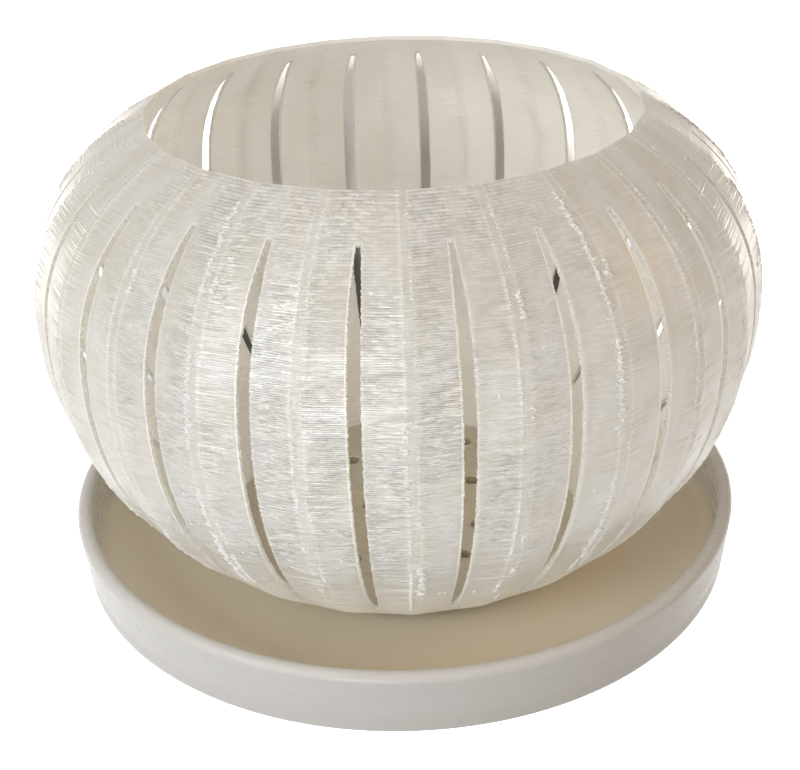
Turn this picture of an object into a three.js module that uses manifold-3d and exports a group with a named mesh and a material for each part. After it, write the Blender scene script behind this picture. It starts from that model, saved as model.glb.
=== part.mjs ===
// An orchid pot: a round-bellied bowl with flat facets and a tall air slot up each of them, standing
// loose in a round saucer. Millimetres, +Z up, the origin in the middle of the saucer's underside.
import * as THREE from 'three';
import { mergeVertices } from 'three/addons/utils/BufferGeometryUtils.js';
import Module from 'manifold-3d';

// The pot's outline: radii to the middle of a facet, and heights above the pot's own underside
const bellyRadius = 60;
const bellyHeight = 47.3;
const mouthRadius = 39.8;
const baseRadius = 29.4;
const potHeight = 78.7;
const shoulderFullness = 2.36;
const bowlFullness = 2;
const potWall = 0.7;
const potFloor = 1.8;

// The facets, and the narrow flat that takes the corner off between two of them
const facetCount = 24;
const creaseWidth = 1.3;

// The air slots, one up the middle of each facet, between two plain bands
const slotWidth = 2.25;
const slotTipWidth = 1.2;
const rimBand = 4.9;
const footBand = 11;
const slotTopTaper = 9;
const slotBottomTaper = 6;

// The drain holes in the pot's floor: rings of them, each so far in from the floor's edge
const drainDiameter = 2.8;
const drainsInRing = 6;
const drainRings = [
  { inset: 4, turn: 0 },
  { inset: 10.2, turn: 0 },
  { inset: 14.4, turn: 30 },
  { inset: 23, turn: 0 },
];

// The saucer, and the room that it leaves round the bowl at the height of its rim
const saucerHeight = 11.6;
const saucerWall = 2.6;
const saucerFloor = 2.1;
const saucerClearance = 13.2;
const saucerDraft = 0.9;
const saucerRimRounding = 1.2;
const saucerFootRounding = 1;
const saucerInnerFillet = 3;

// How finely curves are cut: bands of the pot's wall from the bottom up, sides, and steps in a corner
const footBands = 3;
const bottomTaperBands = 2;
const bowlBands = 4;
const shoulderBands = 3;
const topTaperBands = 3;
const rimBands = 2;
const drainSides = 8;
const drainOverrun = 1;
const saucerSegments = 72;
const roundingSteps = 3;

const wasm = await Module();
wasm.setup();

function toSolid(geometry) {
  const bare = geometry.clone();
  bare.deleteAttribute('normal');
  bare.deleteAttribute('uv');
  const merged = mergeVertices(bare);
  return new wasm.Manifold(new wasm.Mesh({
    numProp: 3,
    vertProperties: new Float32Array(merged.attributes.position.array),
    triVerts: new Uint32Array(merged.index.array),
  }));
}

function toGeometry(solid) {
  const mesh = solid.getMesh();
  const geometry = new THREE.BufferGeometry();
  geometry.setAttribute('position', new THREE.BufferAttribute(mesh.vertProperties, 3));
  geometry.setIndex(new THREE.BufferAttribute(mesh.triVerts, 1));
  return geometry;
}

// A quarter of a rounded curve that leaves the belly upright and passes through an end radius.
// It gives the radius at a distance above or below the belly.
function quarterCurve(endRadius, endDistance, fullness) {
  const endShare = (1 - (endRadius / bellyRadius) ** fullness) ** (1 / fullness);
  const reach = endDistance / endShare;
  return (distance) => bellyRadius * (1 - (distance / reach) ** fullness) ** (1 / fullness);
}

const bowlCurve = quarterCurve(baseRadius, bellyHeight, bowlFullness);
const shoulderCurve = quarterCurve(mouthRadius, potHeight - bellyHeight, shoulderFullness);

// The pot's outer radius at a height, to the middle of a facet
function outerRadius(height) {
  if (height < bellyHeight) return bowlCurve(bellyHeight - height);
  return shoulderCurve(height - bellyHeight);
}

// The wall keeps its thickness square to the outline, so a leaning wall is wider on the level
function innerRadius(height) {
  const step = potWall / 2;
  const slope = (outerRadius(height + step) - outerRadius(height - step)) / (2 * step);
  return outerRadius(height) - potWall * Math.hypot(1, slope);
}

const slotBottom = footBand;
const slotTop = potHeight - rimBand;

// Half the turn that a slot takes up at a height. It is a wedge, as wide in turn all the way through
// the wall, and both its ends narrow in a rounded shoulder to a short blunt tip.
function slotHalfTurn(height) {
  const fromBottom = (height - slotBottom) / slotBottomTaper;
  const fromTop = (slotTop - height) / slotTopTaper;
  const share = THREE.MathUtils.clamp(Math.min(fromBottom, fromTop), 0, 1);
  const width = slotTipWidth + (slotWidth - slotTipWidth) * Math.sin(share * Math.PI / 2);
  return Math.atan(width / 2 / bellyRadius);
}

function levelsBetween(from, to, bands) {
  return Array.from({ length: bands }, (unused, band) => from + (to - from) * band / bands);
}

const wallLevels = [
  0,
  ...levelsBetween(potFloor, slotBottom, footBands),
  ...levelsBetween(slotBottom, slotBottom + slotBottomTaper, bottomTaperBands),
  ...levelsBetween(slotBottom + slotBottomTaper, bellyHeight, bowlBands),
  ...levelsBetween(bellyHeight, slotTop - slotTopTaper, shoulderBands),
  ...levelsBetween(slotTop - slotTopTaper, slotTop, topTaperBands),
  ...levelsBetween(slotTop, potHeight, rimBands),
  potHeight,
];

// The wall's corners. At each level a facet has four outside and four inside: at its two ends, just
// before the creases, and at its slot's two edges, all of them in the facet's flat plane.
const cornersInFacet = 4;
const cornersInSkin = facetCount * cornersInFacet;
const facetTurn = 2 * Math.PI / facetCount;
const facetReach = facetTurn / 2 - Math.atan(creaseWidth / 2 / bellyRadius);
const outerSkin = 0;
const innerSkin = 1;

function cornerIndex(level, skin, facet, corner) {
  const around = (facet * cornersInFacet + corner) % cornersInSkin;
  return (level * 2 + skin) * cornersInSkin + around;
}

function wallPositions() {
  const positions = [];
  for (const height of wallLevels) {
    const slotReach = slotHalfTurn(height);
    for (const radius of [outerRadius(height), innerRadius(height)]) {
      for (let facet = 0; facet < facetCount; facet += 1) {
        for (const turn of [-facetReach, -slotReach, slotReach, facetReach]) {
          const angle = (facet + 0.5) * facetTurn + turn;
          const reach = radius / Math.cos(turn);
          positions.push(reach * Math.cos(angle), reach * Math.sin(angle), height);
        }
      }
    }
  }
  return positions;
}

// Two triangles for four corners, given counter-clockwise as seen from outside the plastic
function quad(a, b, c, d) {
  return [a, b, c, a, c, d];
}

// The triangles of one facet and the crease after it: both skins, the slot's sides and ends, the rim
function facetTriangles(facet) {
  const outer = (level, corner) => cornerIndex(level, outerSkin, facet, corner);
  const inner = (level, corner) => cornerIndex(level, innerSkin, facet, corner);
  const lowest = wallLevels.indexOf(slotBottom);
  const highest = wallLevels.indexOf(slotTop);
  const last = wallLevels.length - 1;
  const floorLevel = 1;
  const triangles = [];
  for (let level = 0; level < last; level += 1) {
    const up = level + 1;
    const slotted = level >= lowest && level < highest;
    for (let corner = 0; corner < cornersInFacet; corner += 1) {
      const next = corner + 1;
      if (slotted && corner === 1) {
        triangles.push(...quad(outer(level, 1), inner(level, 1), inner(up, 1), outer(up, 1)));
        triangles.push(...quad(inner(level, 2), outer(level, 2), outer(up, 2), inner(up, 2)));
        continue;
      }
      triangles.push(...quad(outer(level, corner), outer(level, next), outer(up, next), outer(up, corner)));
      if (level >= floorLevel) {
        triangles.push(...quad(inner(level, next), inner(level, corner), inner(up, corner), inner(up, next)));
      }
    }
  }
  triangles.push(...quad(outer(lowest, 1), outer(lowest, 2), inner(lowest, 2), inner(lowest, 1)));
  triangles.push(...quad(inner(highest, 1), inner(highest, 2), outer(highest, 2), outer(highest, 1)));
  for (let corner = 0; corner < cornersInFacet; corner += 1) {
    const next = corner + 1;
    triangles.push(...quad(outer(last, corner), outer(last, next), inner(last, next), inner(last, corner)));
  }
  return triangles;
}

// The pot without its drain holes: the slotted wall, closed below by the underside and by the top of
// the floor, each a fan of triangles round its middle
function potShell() {
  const positions = wallPositions();
  const triangles = [];
  for (let facet = 0; facet < facetCount; facet += 1) triangles.push(...facetTriangles(facet));
  const underside = positions.length / 3;
  const floorTop = underside + 1;
  positions.push(0, 0, 0, 0, 0, potFloor);
  for (let corner = 0; corner < cornersInSkin; corner += 1) {
    const next = corner + 1;
    triangles.push(underside, cornerIndex(0, outerSkin, 0, next), cornerIndex(0, outerSkin, 0, corner));
    triangles.push(floorTop, cornerIndex(1, innerSkin, 0, corner), cornerIndex(1, innerSkin, 0, next));
  }
  const geometry = new THREE.BufferGeometry();
  geometry.setAttribute('position', new THREE.Float32BufferAttribute(positions, 3));
  geometry.setIndex(triangles);
  return geometry;
}

function drainCutter(ring, drain) {
  const cutter = new THREE.CylinderGeometry(
    drainDiameter / 2,
    drainDiameter / 2,
    potFloor + 2 * drainOverrun,
    drainSides,
  );
  cutter.rotateX(Math.PI / 2);
  cutter.translate(baseRadius - ring.inset, 0, potFloor / 2);
  cutter.rotateZ(THREE.MathUtils.degToRad(ring.turn) + drain * 2 * Math.PI / drainsInRing);
  return cutter;
}

function potGeometry() {
  let pot = toSolid(potShell());
  for (const ring of drainRings) {
    for (let drain = 0; drain < drainsInRing; drain += 1) {
      pot = pot.subtract(toSolid(drainCutter(ring, drain)));
    }
  }
  return toGeometry(pot);
}

// Points round a corner, from one angle to another, in degrees
function rounding(x, y, radius, from, to) {
  const points = [];
  for (let step = 0; step <= roundingSteps; step += 1) {
    const angle = THREE.MathUtils.degToRad(from + (to - from) * step / roundingSteps);
    points.push(new THREE.Vector2(x + radius * Math.cos(angle), y + radius * Math.sin(angle)));
  }
  return points;
}

function saucerGeometry() {
  const inside = outerRadius(saucerHeight - saucerFloor) + saucerClearance;
  const outside = inside + saucerWall;
  const foot = outside - saucerDraft;
  const rim = Math.min(saucerRimRounding, saucerWall / 2);
  const outline = [
    new THREE.Vector2(0, 0),
    ...rounding(foot - saucerFootRounding, saucerFootRounding, saucerFootRounding, -90, 0),
    ...rounding(outside - rim, saucerHeight - rim, rim, 0, 90),
    ...rounding(inside + rim, saucerHeight - rim, rim, 90, 180),
    ...rounding(inside - saucerInnerFillet, saucerFloor + saucerInnerFillet, saucerInnerFillet, 0, -90),
    new THREE.Vector2(0, saucerFloor),
  ];
  return new THREE.LatheGeometry(outline, saucerSegments).rotateX(Math.PI / 2);
}

const potPlastic = new THREE.MeshStandardMaterial({ color: 0xe4e1da, roughness: 0.35, metalness: 0 });
const saucerPlastic = new THREE.MeshStandardMaterial({ color: 0xdeddd9, roughness: 0.4, metalness: 0 });

const saucer = new THREE.Mesh(saucerGeometry(), saucerPlastic);
saucer.name = 'saucer';

const pot = new THREE.Mesh(potGeometry(), potPlastic);
pot.name = 'pot';
pot.position.z = saucerFloor;

const orchidPot = new THREE.Group();
orchidPot.add(saucer, pot);

export default orchidPot;
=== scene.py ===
import math
import random

import bmesh
import bpy
from mathutils import Matrix, Vector


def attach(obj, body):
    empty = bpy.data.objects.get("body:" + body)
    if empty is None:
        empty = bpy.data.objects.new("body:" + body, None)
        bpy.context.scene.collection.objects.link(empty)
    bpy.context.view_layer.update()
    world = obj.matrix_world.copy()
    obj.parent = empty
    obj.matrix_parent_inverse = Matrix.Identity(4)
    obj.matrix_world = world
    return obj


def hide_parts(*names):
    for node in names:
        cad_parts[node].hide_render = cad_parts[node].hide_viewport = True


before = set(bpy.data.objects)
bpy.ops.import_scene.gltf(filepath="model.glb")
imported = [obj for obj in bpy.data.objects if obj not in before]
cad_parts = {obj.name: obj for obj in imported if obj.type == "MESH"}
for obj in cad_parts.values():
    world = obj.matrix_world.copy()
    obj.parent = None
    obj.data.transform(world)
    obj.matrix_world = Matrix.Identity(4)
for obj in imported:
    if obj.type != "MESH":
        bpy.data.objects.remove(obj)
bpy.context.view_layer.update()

MM = 0.001

# The print's layers, and how far a bead stands out past the groove between two of them
LAYER = 0.32 * MM
BEAD_DEPTH = 0.022 * MM

# How far the wall's grooves and crowns lie inside its outline, which the nubs and drops reach out to
SKIN = 0.16 * MM

# The pot's outline, as radii to the middle of a facet and heights above its own underside
BELLY_RADIUS = 60 * MM
BELLY_HEIGHT = 47.3 * MM
MOUTH_RADIUS = 39.8 * MM
BASE_RADIUS = 29.4 * MM
POT_LAYERS = 246
POT_WALL = 0.7 * MM
POT_FLOOR = 1.8 * MM
SHOULDER_FULLNESS = 2.36
BOWL_FULLNESS = 2.0

# The facets, the creases between them and the slots up their middles, as turns round the pot
FACETS = 24
FACET_TURN = 2 * math.pi / FACETS
CREASE_HALF_WIDTH = 0.65 * MM
CREASE_HALF_TURN = math.atan(CREASE_HALF_WIDTH / BELLY_RADIUS)
SLOT_HALF_WIDTH = 1.125 * MM
SLOT_HALF_TURN = math.atan(SLOT_HALF_WIDTH / BELLY_RADIUS)
SLOT_TIP_SHARE = 0.53
SLOT_BOTTOM = 11 * MM
SLOT_TOP = 73.8 * MM
SLOT_BOTTOM_TAPER = 6 * MM
SLOT_TOP_TAPER = 9 * MM

# The drain holes: rings of six in the pot's floor, as radius and turn
DRAIN_RADIUS = 1.4 * MM
DRAINS_IN_RING = 6
DRAIN_RINGS = ((25.4 * MM, 0), (19.2 * MM, 0), (15 * MM, math.pi / 6), (6.4 * MM, 0))

# The saucer
SAUCER_RADIUS = 58.8 * MM
SAUCER_FOOT_RADIUS = 57.9 * MM
SAUCER_HEIGHT = 11.6 * MM
SAUCER_WALL = 2.6 * MM
SAUCER_FLOOR = 2.1 * MM
SAUCER_FILLET = 3 * MM
SAUCER_RIM_ROUNDING = 1.2 * MM
SAUCER_STEPS = 180

# Uneven plastic, as distances in millimetres: how far the nubs up a crease's corners stand out, how
# often each comes, and how far the beads' ends reach into the slots
NUB_HEIGHTS = (0, 0.02, 0.04, 0.06, 0.09)
NUB_ODDS = (0, 0, 0, 1, 1, 2, 3, 4)
BEAD_END_REACHES = (0, 0.02, 0.05, 0.09, 0.14)
# How wide a slot is at a bead's crown, as a share of its width in the grooves
SLOT_AT_CROWN = 0.87

# One pattern of drops for each, copied round the pot in turn
DROP_SEEDS = (64, 37, 43, 17)
CURLS_IN_PATTERN = 7
RIM_NUBS_IN_PATTERN = 4


# Modelling helpers

def deselect_all():
    if bpy.context.object and bpy.context.object.mode != "OBJECT":
        bpy.ops.object.mode_set(mode="OBJECT")
    bpy.ops.object.select_all(action="DESELECT")


def start_chain(name, radius, height):
    """A new mesh of a single point, on the XZ plane, left in edit mode."""
    deselect_all()
    bpy.ops.mesh.primitive_plane_add(size=LAYER, location=(radius, 0, height))
    piece = bpy.context.object
    piece.name = name
    piece.data.name = name
    bpy.ops.object.transform_apply(location=True, rotation=False, scale=False)
    bpy.ops.object.mode_set(mode="EDIT")
    bpy.ops.mesh.select_mode(type="VERT")
    bpy.ops.mesh.select_all(action="SELECT")
    bpy.ops.mesh.merge(type="CENTER")
    return piece


def extend_chain(points):
    """Draws the chain on from the first of the points, where it ends now, through the others."""
    for before, after in zip(points, points[1:]):
        step = (after[0] - before[0], 0, after[1] - before[1])
        bpy.ops.mesh.extrude_vertices_move(TRANSFORM_OT_translate={"value": step})


def turn_selected(turn):
    # With no window the operator turns the other way
    bpy.ops.transform.rotate(value=-turn, orient_axis="Z", center_override=(0, 0, 0))


def scale_selected(x, y, z):
    bpy.ops.transform.resize(value=(x, y, z), center_override=(0, 0, 0))


def pick_points(piece, wanted):
    mesh = bmesh.from_edit_mesh(piece.data)
    for point in mesh.verts:
        point.select_set(bool(wanted(point.co)))
    mesh.select_flush_mode()
    bmesh.update_edit_mesh(piece.data)


def pick_faces(piece, wanted):
    mesh = bmesh.from_edit_mesh(piece.data)
    bpy.ops.mesh.select_mode(type="FACE")
    for face in mesh.faces:
        face.select_set(bool(wanted(face.calc_center_median())))
    mesh.select_flush_mode()
    bmesh.update_edit_mesh(piece.data)


def face_outwards(piece):
    """Turns the normals of a closed or bowl-shaped skin away from the pot's middle."""
    bpy.ops.mesh.select_all(action="SELECT")
    bpy.ops.mesh.normals_make_consistent(inside=False)
    mesh = bmesh.from_edit_mesh(piece.data)
    widest = max(mesh.faces, key=lambda face: face.calc_center_median().xy.length)
    middle = widest.calc_center_median()
    if widest.normal.xy.dot(middle.xy) < 0:
        bpy.ops.mesh.flip_normals()


# The pot's wall

def quarter_curve(end_radius, end_distance, fullness):
    """A rounded curve that leaves the belly upright and passes through an end radius."""
    end_share = (1 - (end_radius / BELLY_RADIUS) ** fullness) ** (1 / fullness)
    reach = end_distance / end_share
    return lambda distance: BELLY_RADIUS * (1 - (distance / reach) ** fullness) ** (1 / fullness)


POT_HEIGHT = POT_LAYERS * LAYER
bowl_curve = quarter_curve(BASE_RADIUS, BELLY_HEIGHT, BOWL_FULLNESS)
shoulder_curve = quarter_curve(MOUTH_RADIUS, POT_HEIGHT - BELLY_HEIGHT, SHOULDER_FULLNESS)


def outer_radius(height):
    height = min(max(height, 0), POT_HEIGHT)
    if height < BELLY_HEIGHT:
        return bowl_curve(BELLY_HEIGHT - height)
    return shoulder_curve(height - BELLY_HEIGHT)


def wall_chain():
    """The wall's outline with its beads: a point in each groove and one on each bead's crown."""
    unsteady = random.Random(5)
    points = []
    for row in range(2 * POT_LAYERS + 1):
        height = row * LAYER / 2
        rise = LAYER / 4
        lean = (outer_radius(height + rise) - outer_radius(height - rise)) / (2 * rise)
        depth = BEAD_DEPTH * min(max(0.35, height / BELLY_HEIGHT), 1)
        out = depth * (unsteady.uniform(0.3, 0.5) if row % 2 else -0.5) - SKIN
        length = math.hypot(1, lean)
        points.append((
            outer_radius(height) + out / length,
            SAUCER_FLOOR + height - out * lean / length,
        ))
    return points


def slot_share(height):
    """How much of its full width a slot has at a height on the pot."""
    from_bottom = (height - SLOT_BOTTOM) / SLOT_BOTTOM_TAPER
    from_top = (SLOT_TOP - height) / SLOT_TOP_TAPER
    share = min(max(min(from_bottom, from_top), 0), 1)
    return SLOT_TIP_SHARE + (1 - SLOT_TIP_SHARE) * math.sin(share * math.pi / 2)


def make_stave():
    """One flat facet, with the columns its slot is later cut between, and the crease that follows it.
    The facet faces +X.
    """
    chain = wall_chain()
    stave = start_chain("pot_wall", *chain[0])
    extend_chain(chain)
    facet_half_turn = FACET_TURN / 2 - CREASE_HALF_TURN
    bpy.ops.mesh.select_all(action="SELECT")
    turn_selected(-facet_half_turn)
    scale_selected(1 / math.cos(facet_half_turn), 1 / math.cos(facet_half_turn), 1)
    columns = (-facet_half_turn, -SLOT_HALF_TURN, SLOT_HALF_TURN, facet_half_turn)
    for before, after in zip(columns, columns[1:]):
        bpy.ops.mesh.extrude_region_move()
        turn_selected(after - before)
        share = math.cos(before) / math.cos(after)
        scale_selected(share, share, 1)
    bpy.ops.mesh.extrude_region_move()
    turn_selected(2 * CREASE_HALF_TURN)
    return stave


def cut_slot(stave):
    low = SAUCER_FLOOR + SLOT_BOTTOM
    high = SAUCER_FLOOR + SLOT_TOP
    slot_edge = math.tan(SLOT_HALF_TURN) * 1.2
    pick_faces(stave, lambda at: low < at.z < high and abs(at.y) < slot_edge * at.x * 0.5)
    bpy.ops.mesh.delete(type="FACE")
    bpy.ops.mesh.select_mode(type="VERT")
    rows = {}
    mesh = bmesh.from_edit_mesh(stave.data)
    for point in mesh.verts:
        if abs(point.co.y) < slot_edge * point.co.x:
            rows.setdefault(round((point.co.z - SAUCER_FLOOR) / (LAYER / 2)), []).append(point.index)
    for row, members in sorted(rows.items()):
        height = row * LAYER / 2
        crown = SLOT_AT_CROWN if row % 2 and SLOT_BOTTOM < height < SLOT_TOP else 1
        share = slot_share(height) * crown
        if abs(share - 1) < 0.001:
            continue
        mesh = bmesh.from_edit_mesh(stave.data)
        mesh.verts.ensure_lookup_table()
        for point in mesh.verts:
            point.select_set(False)
        for index in members:
            mesh.verts[index].select_set(True)
        mesh.select_flush_mode()
        bmesh.update_edit_mesh(stave.data)
        scale_selected(1, share, 1)


def copy_round(patterns, start):
    """The patterns copied in turn all the way round the pot and joined into one piece."""
    for pattern in patterns:
        pattern.select_set(False)
    copies = []
    for facet in range(FACETS):
        deselect_all()
        pattern = patterns[facet % len(patterns)]
        pattern.select_set(True)
        bpy.context.view_layer.objects.active = pattern
        bpy.ops.object.duplicate()
        copy = bpy.context.object
        copy.rotation_euler.z = start + facet * FACET_TURN
        copies.append(copy)
    deselect_all()
    for pattern in patterns:
        bpy.data.objects.remove(pattern)
    for copy in copies:
        copy.select_set(True)
    bpy.context.view_layer.objects.active = copies[0]
    bpy.ops.object.transform_apply(location=False, rotation=True, scale=False)
    bpy.ops.object.join()
    return bpy.context.object


def facet_place(at):
    """How far round a point lies from the crease next to it, and from the middle of its facet."""
    turn = math.atan2(at.y, at.x) % FACET_TURN
    from_crease = min(turn, FACET_TURN - turn)
    return from_crease, turn - FACET_TURN / 2


def roughen(wall):
    """Uneven plastic: nubs up the creases' corners, and bead ends of all lengths along the slots."""
    uneven = random.Random(11)
    nubs = {}
    ends = {}
    mesh = bmesh.from_edit_mesh(wall.data)
    mesh.verts.ensure_lookup_table()
    low = SAUCER_FLOOR + SLOT_BOTTOM
    high = SAUCER_FLOOR + SLOT_TOP
    for point in mesh.verts:
        from_crease, from_middle = facet_place(point.co)
        if not SAUCER_FLOOR + LAYER < point.co.z < SAUCER_FLOOR + POT_HEIGHT - LAYER:
            continue
        if from_crease < CREASE_HALF_TURN * 1.5:
            kind = uneven.choice(NUB_ODDS)
            nubs.setdefault(kind, []).append(point.index)
        elif low < point.co.z < high:
            side = 1 if from_middle > 0 else -1
            reach = uneven.randrange(len(BEAD_END_REACHES))
            ends.setdefault((side, reach), []).append(point.index)

    def pick(indices):
        mesh = bmesh.from_edit_mesh(wall.data)
        mesh.verts.ensure_lookup_table()
        bpy.ops.mesh.select_all(action="DESELECT")
        for index in indices:
            mesh.verts[index].select_set(True)
        mesh.select_flush_mode()
        bmesh.update_edit_mesh(wall.data)

    for kind, indices in sorted(nubs.items()):
        if kind:
            pick(indices)
            bpy.ops.transform.shrink_fatten(value=NUB_HEIGHTS[kind] * MM)
    for (side, kind), indices in sorted(ends.items()):
        pick(indices)
        turn_selected(-side * BEAD_END_REACHES[kind] * MM / BELLY_RADIUS)


def make_wall(outside, inside):
    stave = make_stave()
    cut_slot(stave)
    bpy.ops.object.mode_set(mode="OBJECT")
    wall = copy_round([stave], FACET_TURN / 2)
    wall.name = "pot_wall"
    wall.data.name = "pot_wall"
    bpy.ops.object.mode_set(mode="EDIT")
    bpy.ops.mesh.select_mode(type="VERT")
    bpy.ops.mesh.select_all(action="SELECT")
    bpy.ops.mesh.remove_doubles(threshold=0.02 * MM)
    face_outwards(wall)
    roughen(wall)
    bpy.ops.object.mode_set(mode="OBJECT")
    wall.data.materials.append(outside)
    wall.data.materials.append(inside)
    bpy.ops.object.modifier_add(type="SOLIDIFY")
    thickness = wall.modifiers[-1]
    thickness.thickness = POT_WALL
    thickness.offset = -1
    thickness.material_offset = 1
    thickness.material_offset_rim = 1
    bpy.ops.object.modifier_apply(modifier=thickness.name)
    bpy.ops.object.shade_flat()
    return wall


# Drops of plastic: rows of them along the creases' corners, and a few curls on the facets

def add_drop(height, turn, size, wide):
    """A drop sunk by half into a facet. The turn is measured from the crease, which faces +X."""
    from_middle = FACET_TURN / 2 - abs(turn)
    reach = (outer_radius(height) - SKIN) / math.cos(from_middle)
    proud = 0.95 if outer_radius(height) < BELLY_RADIUS - 0.4 * MM else 0.6
    bpy.ops.mesh.primitive_ico_sphere_add(
        subdivisions=1,
        radius=size,
        location=(reach * math.cos(turn), reach * math.sin(turn), SAUCER_FLOOR + height),
        scale=(proud, wide, 0.75),
    )


def drops_by_crease(seed):
    """The drops of one crease and of the half facets beside it."""
    chance = random.Random(seed)
    deselect_all()
    bpy.ops.mesh.primitive_ico_sphere_add(
        subdivisions=1,
        radius=0.1 * MM,
        location=(BASE_RADIUS, 0, SAUCER_FLOOR + MM),
    )
    row = bpy.context.object
    bpy.ops.object.transform_apply(location=True, rotation=False, scale=False)
    bpy.ops.object.mode_set(mode="EDIT")
    bpy.ops.mesh.delete(type="VERT")
    for side in (-1, 1):
        height = 10 * MM
        while height < POT_HEIGHT - 2 * MM:
            height += chance.uniform(1, 12) * MM
            top = height + chance.choice((1, 2, 3, 5, 8, 14)) * MM
            ragged = chance.choice((0.1, 0.15, 0.5, 0.9))
            while height < min(top, POT_HEIGHT - 2 * MM):
                height += chance.uniform(0.07, 0.26) * (1 if ragged > 0.3 else 1.8) * MM
                spread = chance.triangular(-0.35, 1, 0.2) * ragged * 1.2 * MM / BELLY_RADIUS
                size = chance.triangular(0.08, 0.2 + 0.15 * ragged, 0.12) * MM
                add_drop(height, side * (CREASE_HALF_TURN + spread), size, chance.uniform(1.2, 3.5))
    for nub in range(RIM_NUBS_IN_PATTERN):
        height = POT_HEIGHT - chance.uniform(0.3, 0.6) * MM
        turn = chance.uniform(-0.5, 0.5) * FACET_TURN
        add_drop(height, turn, chance.triangular(0.06, 0.16, 0.08) * MM, chance.uniform(1.0, 3.0))
    for curl in range(CURLS_IN_PATTERN):
        height = chance.uniform(14, 64) * MM
        turn = chance.choice((-1, 1)) * chance.uniform(1.6, 5.5) * MM / BELLY_RADIUS
        bend = chance.uniform(0, 2 * math.pi)
        for step in range(chance.randrange(1, 5)):
            bend += chance.uniform(-0.5, 1.1)
            height += 0.2 * MM * math.sin(bend)
            turn += 0.2 * MM * math.cos(bend) / BELLY_RADIUS
            add_drop(height, turn, chance.uniform(0.08, 0.2) * MM, chance.uniform(1.0, 2.5))
    bpy.ops.mesh.select_all(action="SELECT")
    bpy.ops.transform.vertex_random(offset=0.05 * MM, seed=seed)
    bpy.ops.object.mode_set(mode="OBJECT")
    return row


def make_drops():
    drops = copy_round([drops_by_crease(seed) for seed in DROP_SEEDS], 0)
    drops.name = "bead_drops"
    drops.data.name = "bead_drops"
    bpy.ops.object.shade_smooth()
    return drops


# The pot's floor

def make_floor():
    deselect_all()
    underside = BASE_RADIUS - 0.9 * MM
    bpy.ops.mesh.primitive_cylinder_add(
        vertices=2 * FACETS,
        radius=underside,
        depth=POT_FLOOR,
        location=(0, 0, SAUCER_FLOOR + POT_FLOOR / 2),
    )
    floor = bpy.context.object
    floor.name = "pot_floor"
    bpy.ops.object.transform_apply(location=True, rotation=False, scale=False)
    bpy.ops.object.mode_set(mode="EDIT")
    bpy.ops.mesh.select_mode(type="VERT")
    pick_points(floor, lambda at: at.z > SAUCER_FLOOR + POT_FLOOR / 2)
    flare = (outer_radius(POT_FLOOR) - 0.8 * MM) / underside
    scale_selected(flare, flare, 1)
    bpy.ops.object.mode_set(mode="OBJECT")
    cutters = []
    for radius, start in DRAIN_RINGS:
        for drain in range(DRAINS_IN_RING):
            turn = start + drain * 2 * math.pi / DRAINS_IN_RING
            place = (radius * math.cos(turn), radius * math.sin(turn), SAUCER_FLOOR + POT_FLOOR / 2)
            deselect_all()
            bpy.ops.mesh.primitive_cylinder_add(
                vertices=32,
                radius=DRAIN_RADIUS,
                depth=3 * POT_FLOOR,
                location=place,
            )
            cutters.append(bpy.context.object)
    deselect_all()
    for cutter in cutters:
        cutter.select_set(True)
    bpy.context.view_layer.objects.active = cutters[0]
    bpy.ops.object.join()
    cutter = bpy.context.object
    deselect_all()
    bpy.context.view_layer.objects.active = floor
    floor.select_set(True)
    bpy.ops.object.modifier_add(type="BOOLEAN")
    drains = floor.modifiers[-1]
    drains.operation = "DIFFERENCE"
    drains.solver = "EXACT"
    drains.object = cutter
    bpy.ops.object.modifier_apply(modifier=drains.name)
    bpy.data.objects.remove(cutter)
    bpy.ops.object.modifier_add(type="BEVEL")
    softened = floor.modifiers[-1]
    softened.width = 0.25 * MM
    softened.segments = 2
    softened.limit_method = "ANGLE"
    bpy.ops.object.modifier_apply(modifier=softened.name)
    bpy.ops.object.shade_flat()
    return floor


# The saucer

def corner(x, z, radius, start, end, steps):
    points = []
    for step in range(steps + 1):
        angle = math.radians(start + (end - start) * step / steps)
        points.append((x + radius * math.cos(angle), z + radius * math.sin(angle)))
    return points


def beaded(start, end):
    """The points between two heights of an upright face, in and out with the layers."""
    count = round(abs(end[1] - start[1]) / (LAYER / 2))
    out = 1 if end[1] > start[1] else -1
    points = []
    for row in range(1, count):
        share = row / count
        depth = (BEAD_DEPTH / 2 if row % 2 else -BEAD_DEPTH / 2) * out * 0.7
        points.append((
            start[0] + (end[0] - start[0]) * share + depth,
            start[1] + (end[1] - start[1]) * share,
        ))
    return points


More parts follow.
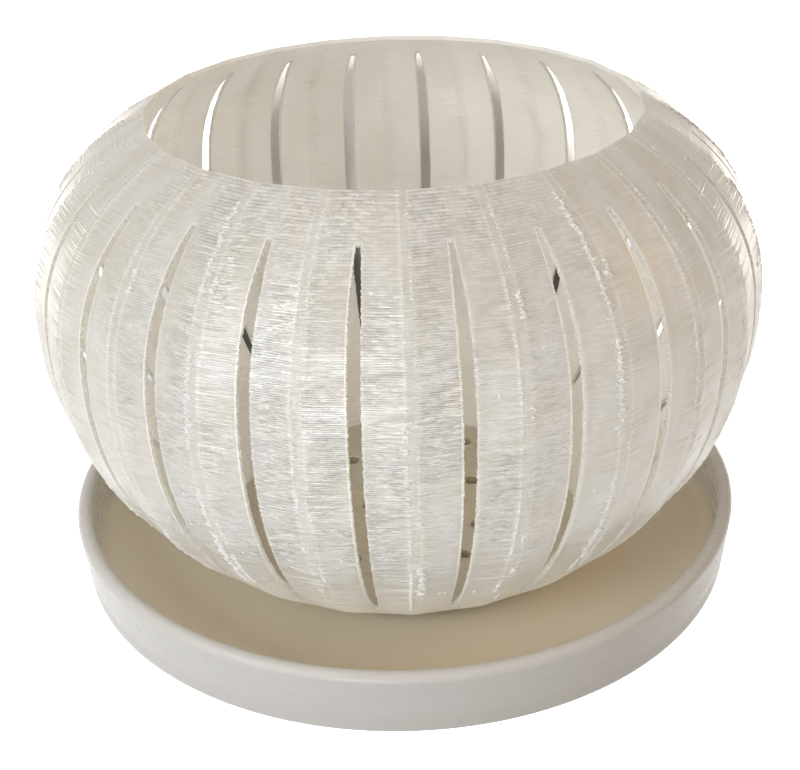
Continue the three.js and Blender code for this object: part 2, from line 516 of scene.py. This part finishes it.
def make_saucer():
    inner = SAUCER_RADIUS - SAUCER_WALL
    foot = corner(SAUCER_FOOT_RADIUS - MM, MM, MM, -90, 0, 4)
    rim_height = SAUCER_HEIGHT - SAUCER_RIM_ROUNDING
    outer_rim = corner(SAUCER_RADIUS - SAUCER_RIM_ROUNDING, rim_height, SAUCER_RIM_ROUNDING, 0, 90, 6)
    inner_rim = corner(inner + SAUCER_RIM_ROUNDING, rim_height, SAUCER_RIM_ROUNDING, 90, 180, 6)
    fillet = corner(inner - SAUCER_FILLET, SAUCER_FLOOR + SAUCER_FILLET, SAUCER_FILLET, 0, -90, 8)
    outline = [(0.4 * MM, 0), *foot, *beaded(foot[-1], outer_rim[0]), *outer_rim, *inner_rim]
    outline += [*beaded(inner_rim[-1], fillet[0]), *fillet, (0.4 * MM, SAUCER_FLOOR)]
    saucer = start_chain("saucer_tray", *outline[0])
    extend_chain(outline)
    bpy.ops.mesh.select_all(action="SELECT")
    bpy.ops.mesh.spin(
        steps=SAUCER_STEPS,
        angle=2 * math.pi,
        center=(0, 0, 0),
        axis=(0, 0, 1),
        use_auto_merge=True,
    )
    bpy.ops.mesh.select_all(action="SELECT")
    bpy.ops.mesh.remove_doubles(threshold=0.005 * MM)
    bpy.ops.mesh.select_all(action="DESELECT")
    bpy.ops.mesh.select_non_manifold()
    bpy.ops.mesh.edge_face_add()
    face_outwards(saucer)
    bpy.ops.object.mode_set(mode="OBJECT")
    bpy.ops.object.shade_smooth_by_angle(angle=math.radians(20))
    return saucer


# Finishes

# Tones of the clear plastic: the wall, its inner skin, the drops, the saucer and the pot's floor
CLEAR_BASE_TONE = (0.7, 0.675, 0.62, 1)
# Painted highlight: the bright dashes along the beads' crowns
CLEAR_PAINTED_HIGHLIGHT = (1.0, 0.99, 0.965, 1)
CLEAR_CLOUD = (0.8, 0.8, 0.8, 1)
# Painted shade in the grooves between the beads
CLEAR_PAINTED_GROOVE_SHADE = (0.48, 0.47, 0.45, 1)
CLEAR_CREASE = (0.74, 0.725, 0.69, 1)
# Painted glint along the corners of the creases
CLEAR_PAINTED_CORNER_GLINT = (0.97, 0.96, 0.93, 1)
# Painted shade along one edge of each slot, and painted glow along the other
CLEAR_PAINTED_SHADE_EDGE = (0.68, 0.665, 0.625, 1)
CLEAR_PAINTED_GLOW_EDGE = (0.96, 0.94, 0.88, 1)
# Painted light: the wall lighter towards the pot's foot
CLEAR_PAINTED_FOOT_LIGHT = (0.98, 0.965, 0.91, 1)
# Painted light: the inner skin is a much lighter copy of the clear plastic
INSIDE_DULL = (0.98, 0.965, 0.93, 1)
INSIDE_BRIGHT = (1.0, 0.985, 0.96, 1)
INSIDE_CREASE = (0.84, 0.81, 0.75, 1)
# Painted shade on the slots' cut sides
INSIDE_SLOT_SIDE_PAINTED_SHADE = (0.76, 0.75, 0.72, 1)
# Painted glints: the drops are near white, much lighter than the clear plastic they are made of
DROP_DULL = (0.96, 0.95, 0.92, 1)
DROP_BRIGHT = (1.0, 1.0, 0.99, 1)
SAUCER_DULL = (0.73, 0.715, 0.685, 1)
SAUCER_BRIGHT = (0.76, 0.75, 0.73, 1)
# Painted: the warm colour of a table seen through the saucer's inside
SAUCER_INSIDE_PAINTED_TABLE = (0.96, 0.865, 0.68, 1)
# Painted: the pot's floor darker and warm, for shade inside the pot and a table seen through it
POT_FLOOR_DULL = (0.5, 0.455, 0.35, 1)
POT_FLOOR_BRIGHT = (0.55, 0.505, 0.4, 1)

# The ground as it is seen and reflected, with painted shade near the pot and lighter far behind it, and
# the little it sends back up
GROUND_PAINTED_SHADE_NEAR = (0.13, 0.13, 0.13, 1)
GROUND_FAR = (0.5, 0.49, 0.47, 1)
GROUND_BOUNCE = (0.011, 0.0108, 0.0103, 1)


class Finish:
    """A material and short ways to add and join its nodes."""

    def __init__(self, name):
        self.material = bpy.data.materials.new(name)
        self.material.use_nodes = True
        self.tree = self.material.node_tree
        self.tree.nodes.clear()

    def node(self, kind, **inputs):
        made = self.tree.nodes.new(kind)
        for key, value in inputs.items():
            self.feed(value, made.inputs[key.replace("_", " ")])
        return made

    def feed(self, value, socket):
        if isinstance(value, bpy.types.NodeSocket):
            self.tree.links.new(value, socket)
        else:
            socket.default_value = value

    def maths(self, operation, *values, clamp=False):
        made = self.tree.nodes.new("ShaderNodeMath")
        made.operation = operation
        made.use_clamp = clamp
        for index, value in enumerate(values):
            self.feed(value, made.inputs[index])
        return made.outputs[0]

    def ramp(self, value, low, high, to_low=0.0, to_high=1.0):
        made = self.tree.nodes.new("ShaderNodeMapRange")
        made.interpolation_type = "SMOOTHSTEP"
        for index, number in enumerate((value, low, high, to_low, to_high)):
            self.feed(number, made.inputs[index])
        return made.outputs[0]

    def blend(self, share, first, second):
        made = self.tree.nodes.new("ShaderNodeMix")
        made.data_type = "RGBA"
        self.feed(share, made.inputs[0])
        self.feed(first, made.inputs[6])
        self.feed(second, made.inputs[7])
        return made.outputs[2]

    def noise(self, x, y, z, detail=2.0, roughness=0.5):
        place = self.node("ShaderNodeCombineXYZ", X=x, Y=y, Z=z)
        made = self.node(
            "ShaderNodeTexNoise",
            Vector=place.outputs[0],
            Scale=1.0,
            Detail=detail,
            Roughness=roughness,
        )
        return made.outputs["Fac"]

    def axes(self):
        """The X, Y and Z of a place on the piece."""
        place = self.node("ShaderNodeTexCoord").outputs["Object"]
        return self.node("ShaderNodeSeparateXYZ", Vector=place).outputs

    def from_centre(self, axes):
        """How far a place lies from the upright line through the pot's middle."""
        squares = [self.maths("POWER", axis, 2.0) for axis in (axes[0], axes[1])]
        return self.maths("SQRT", self.maths("ADD", *squares))

    def finish(self, colour, roughness, height, depth, glow=0.0, **uniform):
        """The last nodes. The glow is the share of light that goes on through the plastic."""
        bump = self.node("ShaderNodeBump", Height=height, Distance=depth)
        shader = self.node(
            "ShaderNodeBsdfPrincipled",
            Base_Color=colour,
            Roughness=roughness,
            Normal=bump.outputs[0],
        )
        for key, value in uniform.items():
            shader.inputs[key.replace("_", " ")].default_value = value
        output = self.node("ShaderNodeOutputMaterial")
        if glow:
            through = self.node("ShaderNodeBsdfTranslucent", Color=colour, Normal=bump.outputs[0])
            mix = self.node("ShaderNodeMixShader", Fac=glow)
            self.tree.links.new(shader.outputs[0], mix.inputs[1])
            self.tree.links.new(through.outputs[0], mix.inputs[2])
            self.tree.links.new(mix.outputs[0], output.inputs["Surface"])
        else:
            self.tree.links.new(shader.outputs[0], output.inputs["Surface"])
        return self.material


def beside_slot(made, axes, across):
    """How far a place lies from its facet's middle, and from the edge of the slot there."""
    above_bottom = made.maths("SUBTRACT", axes[2], SAUCER_FLOOR + SLOT_BOTTOM)
    below_top = made.maths("SUBTRACT", SAUCER_FLOOR + SLOT_TOP, axes[2])
    share = made.maths(
        "MINIMUM",
        made.maths("DIVIDE", above_bottom, SLOT_BOTTOM_TAPER),
        made.maths("DIVIDE", below_top, SLOT_TOP_TAPER),
        clamp=True,
    )
    opening = made.maths("SINE", made.maths("MULTIPLY", share, math.pi / 2))
    half_slot = made.maths(
        "MULTIPLY_ADD",
        opening,
        (1 - SLOT_TIP_SHARE) * SLOT_HALF_TURN / FACET_TURN,
        SLOT_TIP_SHARE * SLOT_HALF_TURN / FACET_TURN,
    )
    from_middle = made.maths("SUBTRACT", across, 0.5)
    past_edge = made.maths("SUBTRACT", made.maths("ABSOLUTE", from_middle), half_slot)
    beside = made.maths("MAXIMUM", past_edge, 0.0)
    beside = made.maths("MULTIPLY", beside, FACET_TURN * BELLY_RADIUS)
    beyond = made.maths("MINIMUM", made.maths("MINIMUM", above_bottom, below_top), 0.0)
    from_slot = made.maths("SQRT", made.maths(
        "ADD",
        made.maths("MULTIPLY", beside, beside),
        made.maths("MULTIPLY", beyond, beyond),
    ))
    return from_middle, from_slot


def wall_finish():
    made = Finish("clear_print_wall")
    axes = made.axes()
    turn = made.maths("ARCTAN2", axes[1], axes[0])
    facets = made.maths("MULTIPLY", turn, FACETS / (2 * math.pi))
    facet = made.maths("FLOOR", facets)
    across = made.maths("FRACT", facets)
    from_crease = made.maths("PINGPONG", facets, 0.5)
    facet_offset = made.maths("MULTIPLY", facet, 7.3)
    around = made.maths("MULTIPLY_ADD", turn, BELLY_RADIUS / (3 * MM), facet_offset)
    layers = made.maths("DIVIDE", made.maths("SUBTRACT", axes[2], SAUCER_FLOOR), LAYER)
    layer = made.maths("FLOOR", layers)
    up_bead = made.maths("FRACT", layers)
    bead = made.maths("SINE", made.maths("MULTIPLY", up_bead, math.pi))
    streaks = made.noise(around, made.maths("MULTIPLY", layer, 1.73), 0.0, detail=1.0)
    dash = made.ramp(streaks, 0.4, 0.6)
    # Each bead leans in and out along its length, and the facets aren't quite flat
    twist = made.noise(made.maths("MULTIPLY", around, 2.4), made.maths("MULTIPLY", layer, 2.37), 9.0)
    lean = made.maths(
        "MULTIPLY",
        made.maths("SUBTRACT", twist, 0.5),
        made.maths("SUBTRACT", up_bead, 0.5),
    )
    waves = made.noise(
        made.maths("MULTIPLY", around, 0.9),
        made.maths("MULTIPLY", layers, 0.06),
        17.0,
        detail=1.0,
    )
    # How plain the lines are: plainest high on the front, and in some patches more than in others.
    # Besides the bumps, this sets where the painted highlights and painted groove shade are strongest,
    # high on the front where the light of the window in front is reflected.
    patches = made.noise(
        made.maths("MULTIPLY", around, 0.4),
        made.maths("MULTIPLY", layers, 0.025),
        3.0,
    )
    up_left = made.maths("MULTIPLY_ADD", axes[0], -0.4, axes[2])
    plain = made.maths(
        "MULTIPLY",
        made.ramp(patches, 0.36, 0.62, 0.35, 1.0),
        made.ramp(up_left, 14 * MM, 42 * MM, 0.08, 1.0),
    )
    radius = made.from_centre(axes)
    forward = made.maths("MULTIPLY_ADD", axes[0], -0.2, made.maths("MULTIPLY", axes[1], -0.98))
    facing = made.maths("DIVIDE", forward, radius)
    plain = made.maths("MULTIPLY", plain, made.ramp(facing, 0.68, 0.97, 0.15, 1.0))
    crease = made.ramp(from_crease, 0.038, 0.046, 1.0, 0.0)
    plain = made.maths("MULTIPLY", plain, made.ramp(crease, 0.0, 1.0, 1.0, 0.3))
    # Painted glint: a light line along each corner of a crease
    corner_painted_glint = made.maths(
        "MULTIPLY",
        made.ramp(from_crease, 0.038, 0.05),
        made.ramp(from_crease, 0.06, 0.1, 1.0, 0.0),
    )
    from_middle, from_slot = beside_slot(made, axes, across)
    on_right = made.ramp(from_middle, 0.0, 0.02)
    on_left = made.maths("SUBTRACT", 1.0, on_right)
    # Light runs along the beads and comes out at one end of them, so one edge of a slot is painted
    # bright as a glow, and the other edge is painted duller as shade
    slot_edge_painted_glow = made.maths(
        "MULTIPLY",
        made.ramp(from_slot, 0.1 * MM, 0.24 * MM, 1.0, 0.0),
        made.ramp(on_left, 0.0, 1.0, 0.35, 1.0),
    )
    slot_edge_painted_shade = made.maths(
        "MULTIPLY",
        on_right,
        made.maths(
            "MULTIPLY",
            made.ramp(from_slot, 0.25 * MM, 0.45 * MM),
            made.ramp(from_slot, 0.8 * MM, 1.7 * MM, 1.0, 0.0),
        ),
    )
    # Painted highlight: bright dashes on the beads' crowns, strongest where the lines are plainest
    tone = made.blend(
        made.maths("MULTIPLY", made.maths("MULTIPLY", dash, bead), made.maths("MULTIPLY", plain, 0.9)),
        CLEAR_BASE_TONE,
        CLEAR_PAINTED_HIGHLIGHT,
    )
    clouds = made.noise(made.maths("MULTIPLY", around, 0.5), made.maths("MULTIPLY", layers, 0.04), 23.0)
    tone = made.blend(made.ramp(clouds, 0.42, 0.62, 0.0, 0.6), tone, CLEAR_CLOUD)
    # Painted shade: the grooves between the beads are darker, most where the lines are plainest
    groove_painted_shade = made.maths(
        "MULTIPLY",
        made.maths("SUBTRACT", 1.0, bead),
        made.maths("SUBTRACT", 1.15, dash),
    )
    groove = made.maths("MULTIPLY", made.maths("MULTIPLY", groove_painted_shade, plain), 0.9)
    tone = made.blend(groove, tone, CLEAR_PAINTED_GROOVE_SHADE)
    tone = made.blend(made.maths("MULTIPLY", crease, 0.3), tone, CLEAR_CREASE)
    tone = made.blend(made.maths("MULTIPLY", corner_painted_glint, 0.35), tone, CLEAR_PAINTED_CORNER_GLINT)
    tone = made.blend(made.maths("MULTIPLY", slot_edge_painted_shade, 0.45), tone, CLEAR_PAINTED_SHADE_EDGE)
    tone = made.blend(slot_edge_painted_glow, tone, CLEAR_PAINTED_GLOW_EDGE)
    # Painted light: the wall is lighter towards the pot's foot, as if lit through
    foot = made.ramp(axes[2], 10 * MM, 32 * MM, 0.85, 0.0)
    tone = made.blend(foot, tone, CLEAR_PAINTED_FOOT_LIGHT)
    roughness = made.ramp(made.maths("MULTIPLY", dash, plain), 0.0, 1.0, 0.34, 0.14)
    swell = made.noise(made.maths("MULTIPLY", around, 1.9), made.maths("MULTIPLY", layer, 3.11), 31.0)
    swell = made.ramp(swell, 0.4, 0.6, 0.0, 2.0)
    height = made.maths("MULTIPLY_ADD", lean, 24.0, made.maths("MULTIPLY", bead, swell))
    height = made.maths("MULTIPLY", height, made.ramp(plain, 0.0, 1.0, 0.12, 1.0))
    height = made.maths("MULTIPLY_ADD", waves, 5.0, height)
    return made.finish(
        tone,
        roughness,
        height,
        0.042 * MM,
        glow=0.4,
        IOR=1.6,
        Specular_IOR_Level=1.0,
        Coat_Weight=0.6,
        Coat_Roughness=0.12,
    )


def inside_finish():
    """The wall's inner skin, where the same beads show smoother and warmer. Its plastic is painted much
    lighter than outside, as painted light for the inside of the pot.
    """
    made = Finish("clear_print_inside")
    axes = made.axes()
    turn = made.maths("ARCTAN2", axes[1], axes[0])
    facets = made.maths("MULTIPLY", turn, FACETS / (2 * math.pi))
    from_crease = made.maths("PINGPONG", facets, 0.5)
    around = made.maths("MULTIPLY", turn, BELLY_RADIUS / (6 * MM))
    layers = made.maths("DIVIDE", made.maths("SUBTRACT", axes[2], SAUCER_FLOOR), LAYER)
    layer = made.maths("FLOOR", layers)
    streaks = made.noise(around, made.maths("MULTIPLY", layer, 1.73), 5.0, detail=2.0)
    tone = made.blend(made.ramp(streaks, 0.35, 0.65), INSIDE_DULL, INSIDE_BRIGHT)
    crease = made.ramp(from_crease, 0.05, 0.09, 1.0, 0.0)
    tone = made.blend(made.maths("MULTIPLY", crease, 0.15), tone, INSIDE_CREASE)
    across = made.maths("FRACT", facets)
    _, from_slot = beside_slot(made, axes, across)
    # Painted shade: the slots' cut sides are darker than the rest of the skin
    tone = made.blend(made.ramp(from_slot, 0.02 * MM, 0.08 * MM, 0.8, 0.0), tone, INSIDE_SLOT_SIDE_PAINTED_SHADE)
    return made.finish(
        tone,
        0.42,
        streaks,
        0.02 * MM,
        glow=0.5,
        IOR=1.46,
    )


def drop_finish():
    made = Finish("clear_drops")
    axes = made.axes()
    lumps = made.noise(*(made.maths("DIVIDE", axis, 0.3 * MM) for axis in axes))
    # Painted glints: the drops are near white, much lighter than the clear plastic
    tone = made.blend(lumps, DROP_DULL, DROP_BRIGHT)
    return made.finish(
        tone,
        made.ramp(lumps, 0.3, 0.7, 0.15, 0.35),
        lumps,
        0.03 * MM,
        glow=0.35,
        IOR=1.5,
        Specular_IOR_Level=1.0,
    )


def saucer_finish():
    made = Finish("clear_print_saucer")
    axes = made.axes()
    turn = made.maths("ARCTAN2", axes[1], axes[0])
    length = made.from_centre(axes)
    layers = made.maths("DIVIDE", axes[2], LAYER)
    layer = made.maths("FLOOR", layers)
    bead = made.maths("SINE", made.maths("MULTIPLY", made.maths("FRACT", layers), math.pi))
    inner = SAUCER_RADIUS - SAUCER_WALL
    # The streaks run round without a seam, because they read the place on a circle
    round_x = made.maths("MULTIPLY", made.maths("COSINE", turn), 9.0)
    round_y = made.maths("MULTIPLY", made.maths("SINE", turn), 9.0)
    streaks = made.noise(
        round_x,
        round_y,
        made.maths("MULTIPLY", layer, 1.73),
        detail=3.0,
        roughness=0.6,
    )
    inside = made.maths(
        "MULTIPLY",
        made.ramp(length, inner - 1.2 * MM, inner + 0.6 * MM, 1.0, 0.0),
        made.ramp(axes[2], SAUCER_HEIGHT - 2.5 * MM, SAUCER_HEIGHT - 0.3 * MM, 1.0, 0.0),
    )
    upright = made.ramp(axes[2], SAUCER_FLOOR + 0.3 * MM, SAUCER_FLOOR + 2 * MM)
    streaks = made.maths("MULTIPLY", streaks, upright)
    tone = made.blend(made.ramp(streaks, 0.3, 0.7), SAUCER_DULL, SAUCER_BRIGHT)
    # Painted: the saucer's inside takes the warm colour of a table seen through it
    tone = made.blend(made.maths("MULTIPLY", inside, 0.85), tone, SAUCER_INSIDE_PAINTED_TABLE)
    roughness = made.ramp(streaks, 0.3, 0.7, 0.4, 0.22)
    height = made.maths("ADD", made.maths("MULTIPLY", bead, 0.25), made.maths("MULTIPLY", streaks, 0.1))
    height = made.maths("MULTIPLY", height, upright)
    return made.finish(
        tone,
        roughness,
        height,
        0.04 * MM,
        glow=0.15,
        IOR=1.5,
        Specular_IOR_Level=0.35,
    )


def floor_finish():
    made = Finish("clear_print_floor")
    axes = made.axes()
    across = made.maths("ADD", axes[0], axes[1])
    roads = made.maths("DIVIDE", across, 0.62 * MM)
    road = made.maths("FLOOR", roads)
    bead = made.maths("SINE", made.maths("MULTIPLY", made.maths("FRACT", roads), math.pi))
    along = made.maths("MULTIPLY", made.maths("SUBTRACT", axes[0], axes[1]), 220.0)
    streaks = made.noise(along, made.maths("MULTIPLY", road, 1.73), 0.0, detail=3.0)
    # Painted: darker and warm, standing in for shade inside the pot and a table seen through the floor
    tone = made.blend(made.ramp(streaks, 0.3, 0.7), POT_FLOOR_DULL, POT_FLOOR_BRIGHT)
    height = made.maths("ADD", made.maths("MULTIPLY", bead, 0.25), made.maths("MULTIPLY", streaks, 0.2))
    return made.finish(
        tone,
        made.ramp(streaks, 0.3, 0.7, 0.5, 0.35),
        height,
        0.05 * MM,
        Subsurface_Weight=0.9,
        Subsurface_Radius=(1.0, 0.9, 0.8),
        Subsurface_Scale=1.5 * MM,
        IOR=1.46,
    )


def dress(piece, material):
    piece.data.materials.clear()
    piece.data.materials.append(material)


# The object

wall = make_wall(wall_finish(), inside_finish())
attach(wall, "pot")
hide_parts("pot")

drops = make_drops()
dress(drops, drop_finish())
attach(drops, "pot")
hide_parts("pot")

floor = make_floor()
dress(floor, floor_finish())
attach(floor, "pot")
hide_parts("pot")

saucer = make_saucer()
dress(saucer, saucer_finish())
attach(saucer, "saucer")
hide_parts("saucer")


# The ground it stands on, white where the object's shadow doesn't fall. It ends short of its own lamp.

GROUND_SIZE = 2.8
GROUND_LAMP_PLACE = (-0.03, -1.5, 0.43)
GROUND_LAMP_AIM = (0.03, 1.7, -0.43)
GROUND_LAMP_SIZE = 0.25
GROUND_LAMP_POWER = 1200


def make_ground():
    deselect_all()
    bpy.ops.mesh.primitive_plane_add(size=GROUND_SIZE, location=(0, 0, -0.05 * MM))
    ground = bpy.context.object
    ground.name = "pale_floor"
    made = Finish("pale_floor")
    path = made.node("ShaderNodeLightPath").outputs
    axes = made.axes()
    # Painted shade: darker near the pot than far behind it. Reflections show what the camera sees.
    far_behind = made.ramp(axes[1], 0.12, 0.17)
    shown = made.blend(far_behind, GROUND_PAINTED_SHADE_NEAR, GROUND_FAR)
    seen = made.maths("ADD", path["Is Camera Ray"], path["Is Transmission Ray"], clamp=True)
    seen = made.maths("ADD", seen, path["Is Glossy Ray"], clamp=True)
    colour = made.blend(seen, GROUND_BOUNCE, shown)
    shader = made.node("ShaderNodeBsdfDiffuse", Color=colour)
    output = made.node("ShaderNodeOutputMaterial")
    made.tree.links.new(shader.outputs[0], output.inputs["Surface"])
    dress(ground, made.material)
    return ground


def light_floor(ground):
    """A low light from the front for the ground alone, which is white outside the object's shadow."""
    light = bpy.data.lights.new("floor_light", "AREA")
    light.size = GROUND_LAMP_SIZE
    light.energy = GROUND_LAMP_POWER
    lamp = bpy.data.objects.new("floor_light", light)
    bpy.context.scene.collection.objects.link(lamp)
    lamp.location = GROUND_LAMP_PLACE
    lamp.rotation_euler = Vector(GROUND_LAMP_AIM).to_track_quat("-Z", "Y").to_euler()
    lit = bpy.data.collections.new("floor_light_falls_on")
    lit.objects.link(ground)
    lamp.light_linking.receiver_collection = lit


light_floor(make_ground())


# Light: a soft warm sky, a cool window in front on the left, a small low one in front, a warm one on
# the right and a weak one above

def light_world():
    world = bpy.data.worlds.new("soft_sky")
    world.use_nodes = True
    tree = world.node_tree
    tree.nodes.clear()
    path = tree.nodes.new("ShaderNodeLightPath")
    # The sky lights the object, and what the camera and reflections see behind it is plain white
    sky = tree.nodes.new("ShaderNodeBackground")
    sky.inputs[0].default_value = (1.0, 0.82, 0.62, 1)
    sky.inputs[1].default_value = 0.34
    backdrop = tree.nodes.new("ShaderNodeBackground")
    backdrop.inputs[0].default_value = (1, 1, 1, 1)
    backdrop.inputs[1].default_value = 1.0
    mix = tree.nodes.new("ShaderNodeMixShader")
    output = tree.nodes.new("ShaderNodeOutputWorld")
    seen = path.outputs["Is Camera Ray"]
    for kind in ("Is Glossy Ray", "Is Transmission Ray"):
        add = tree.nodes.new("ShaderNodeMath")
        add.operation = "ADD"
        add.use_clamp = True
        tree.links.new(seen, add.inputs[0])
        tree.links.new(path.outputs[kind], add.inputs[1])
        seen = add.outputs[0]
    tree.links.new(seen, mix.inputs[0])
    tree.links.new(sky.outputs[0], mix.inputs[1])
    tree.links.new(backdrop.outputs[0], mix.inputs[2])
    tree.links.new(mix.outputs[0], output.inputs[0])
    bpy.context.scene.world = world


def add_window(name, place, aim, size, power, colour):
    light = bpy.data.lights.new(name, "AREA")
    light.shape = "RECTANGLE"
    light.size, light.size_y = size
    light.energy = power
    light.color = colour
    lamp = bpy.data.objects.new(name, light)
    bpy.context.scene.collection.objects.link(lamp)
    lamp.location = place
    lamp.rotation_euler = (Vector(aim) - Vector(place)).to_track_quat("-Z", "Y").to_euler()


light_world()
add_window("window_front", (-0.5, -0.49, 0.33), (0, 0, 0.045), (0.3, 0.3), 2.55, (0.87, 0.93, 1.0))
add_window("window_low", (-0.2, -0.67, 0.1), (0, 0, 0.03), (0.12, 0.1), 0.9, (0.97, 0.98, 1.0))
add_window("window_right", (0.6, -0.05, 0.35), (0, 0, 0.045), (0.2, 0.3), 0.4, (1.0, 0.62, 0.34))
add_window("window_top", (-0.14, -0.12, 0.62), (0, 0, 0.07), (0.3, 0.25), 0.45, (1.0, 0.98, 0.95))


# The camera, where the photograph was taken from

SENSOR_WIDTH = 36
PICTURE_WIDTH = 800
FOCAL_LENGTH_IN_PIXELS = 1459.0
CAMERA_DISTANCE = 227.6 * MM
CAMERA_HEIGHT = 151.7 * MM


def add_camera():
    data = bpy.data.cameras.new("camera")
    data.sensor_width = SENSOR_WIDTH
    data.lens = SENSOR_WIDTH * FOCAL_LENGTH_IN_PIXELS / PICTURE_WIDTH
    data.clip_start = 0.01
    camera = bpy.data.objects.new("camera", data)
    bpy.context.scene.collection.objects.link(camera)
    bearing = math.radians(-1.31)
    pitch = math.radians(28.33)
    yaw = math.radians(-0.05)
    roll = math.radians(-1.78)
    ahead = Vector((
        math.sin(yaw) * math.cos(pitch),
        math.cos(yaw) * math.cos(pitch),
        -math.sin(pitch),
    ))
    right = ahead.cross(Vector((0, 0, 1))).normalized()
    up = right.cross(ahead)
    rolled_right = right * math.cos(roll) + up * math.sin(roll)
    rolled_up = up * math.cos(roll) - right * math.sin(roll)
    axes = Matrix((rolled_right, rolled_up, -ahead)).transposed().to_4x4()
    stand = Matrix.Translation((0, -CAMERA_DISTANCE, CAMERA_HEIGHT))
    camera.matrix_world = Matrix.Rotation(bearing, 4, "Z") @ stand @ axes
    bpy.context.scene.camera = camera


add_camera()

bpy.context.scene.view_settings.view_transform = "Standard"
